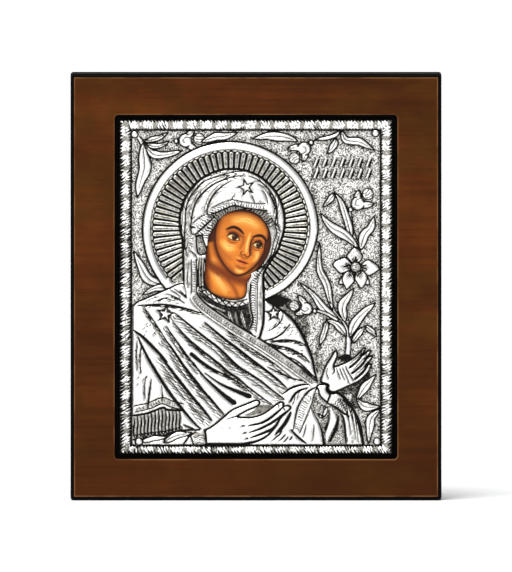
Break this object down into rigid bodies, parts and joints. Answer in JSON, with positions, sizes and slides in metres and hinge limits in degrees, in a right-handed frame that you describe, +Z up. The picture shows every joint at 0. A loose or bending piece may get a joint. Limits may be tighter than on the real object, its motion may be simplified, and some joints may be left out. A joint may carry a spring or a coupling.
{
  "type": "silver icon",
  "caption": "Framed icon for a wall: an embossed silver cover with a painted head window, pinned in a recessed wooden board.",
  "frame": {"origin": "centre of the flat back of the wooden frame, where it lies on the wall", "axes": "+Z up, -Y out of the front of the icon, +X to the viewer's right"},
  "size_m": [0.195, 0.018, 0.2246],
  "materials": {
    "frame_wood": "brown stained and varnished, with a black painted bevel and recess and rubbed edges",
    "icon_paint": "icon painting on a thin wooden panel: ochre flesh with dark brown drawing, satin varnish",
    "oxidised_silver": "embossed silver, polished on the heights and blackened in the hollows",
    "pin_silver": "polished domed heads"
  },
  "bodies": {
    "root": {"wooden_frame": "frame_wood", "painted_panel": "icon_paint", "silver_cover": "oxidised_silver", "pin_top_left": "pin_silver", "pin_top_right": "pin_silver", "pin_bottom_left": "pin_silver", "pin_bottom_right": "pin_silver"}
  },
  "joints": []
}
